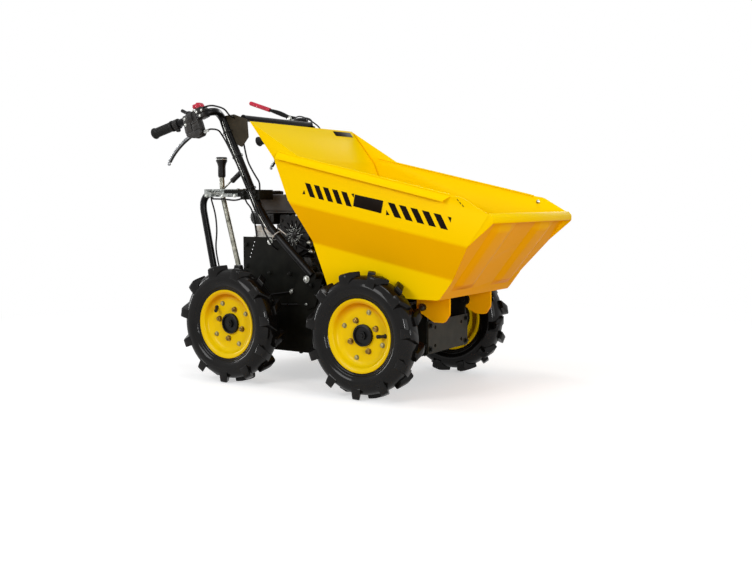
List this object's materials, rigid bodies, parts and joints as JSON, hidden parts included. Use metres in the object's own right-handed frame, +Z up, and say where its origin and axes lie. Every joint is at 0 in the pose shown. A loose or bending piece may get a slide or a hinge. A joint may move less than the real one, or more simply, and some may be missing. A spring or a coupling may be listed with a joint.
{
  "type": "walk-behind site dumper",
  "caption": "Walk-behind power barrow: forward-tipping steel skip, petrol engine behind it, lugged wheels and a twin-grip handlebar.",
  "frame": {"origin": "on the ground under the middle of the machine", "axes": "+X forward, the way the skip tips; +Y left; +Z up"},
  "size_m": [1.4057, 0.691, 1.0338],
  "materials": {
    "cast_black": "black painted castings",
    "chassis_paint": "black powder coat, semi-gloss",
    "control_cable": "extruded",
    "control_plastic": "moulded",
    "engine_alloy": "die-cast",
    "engine_black": "black enamel",
    "grip_rubber": "ribbed",
    "hub_black": "black enamel",
    "lever_alloy": "cast and polished",
    "muffler_steel": "satin",
    "red_plastic": "moulded",
    "rim_paint": "yellow enamel, gloss",
    "skip_paint": "bright yellow enamel, semi-gloss",
    "tyre": "black rubber",
    "zinc_steel": "zinc plated"
  },
  "bodies": {
    "chassis": {"air_cleaner": "engine_black", "belly_pan": "chassis_paint", "belt_cover": "engine_black", "brake_levers": "lever_alloy", "clutch_bracket": "chassis_paint", "clutch_lever": "chassis_paint", "clutch_lever_sleeve": "red_plastic", "control_cables": "control_cable", "crossbar": "chassis_paint", "crossmember": "chassis_paint", "engine_crankcase": "engine_alloy", "engine_cylinder": "engine_alloy", "engine_deck": "chassis_paint", "fan_housing": "engine_black", "front_axle": "cast_black", "front_differential": "cast_black", "front_plate": "chassis_paint", "fuel_tank": "engine_black", "gate_clamp": "chassis_paint", "gate_hoop": "chassis_paint", "gate_plate": "zinc_steel", "gearbox": "cast_black", "grips": "grip_rubber", "gussets": "chassis_paint", "handlebar_feet": "chassis_paint", "handlebar_left": "chassis_paint", "handlebar_right": "chassis_paint", "hinge_ears": "chassis_paint", "lever_grips": "grip_rubber", "lever_perches": "lever_alloy", "lever_rods": "zinc_steel", "muffler": "muffler_steel", "rear_axle": "cast_black", "rear_plate": "chassis_paint", "selector_housing": "chassis_paint", "side_plate_left": "chassis_paint", "side_plate_right": "chassis_paint", "stop_switch": "red_plastic", "switch_box": "control_plastic", "tank_cap": "engine_black", "throttle_lever": "control_plastic"},
    "skip": {"skip_side_right": "skip_paint", "skip_side_left": "skip_paint", "skip_front": "skip_paint", "skip_rear": "skip_paint", "skip_floor": "skip_paint", "skip_hinge_lugs": "skip_paint"},
    "wheel_rear_right": {"tyre_rear_right": "tyre", "rim_rear_right": "rim_paint", "hub_rear_right": "hub_black"},
    "wheel_rear_left": {"tyre_rear_left": "tyre", "rim_rear_left": "rim_paint", "hub_rear_left": "hub_black"},
    "wheel_front_right": {"tyre_front_right": "tyre", "rim_front_right": "rim_paint", "hub_front_right": "hub_black"},
    "wheel_front_left": {"tyre_front_left": "tyre", "rim_front_left": "rim_paint", "hub_front_left": "hub_black"}
  },
  "joints": [
    {"name": "wheel_rear_right_spin", "type": "hinge", "parent": "chassis", "child": "wheel_rear_right", "pos_m": [-0.297, -0.2985, 0.203], "axis": [0, 1, 0], "continuous": true},
    {"name": "wheel_rear_left_spin", "type": "hinge", "parent": "chassis", "child": "wheel_rear_left", "pos_m": [-0.297, 0.2985, 0.203], "axis": [0, 1, 0], "continuous": true},
    {"name": "wheel_front_right_spin", "type": "hinge", "parent": "chassis", "child": "wheel_front_right", "pos_m": [0.255, -0.2985, 0.203], "axis": [0, 1, 0], "continuous": true},
    {"name": "wheel_front_left_spin", "type": "hinge", "parent": "chassis", "child": "wheel_front_left", "pos_m": [0.255, 0.2985, 0.203], "axis": [0, 1, 0], "continuous": true},
    {"name": "skip_tip", "type": "hinge", "parent": "chassis", "child": "skip", "pos_m": [0.384, 0, 0.286], "axis": [0, 1, 0], "range_deg": [0, 78]}
  ]
}
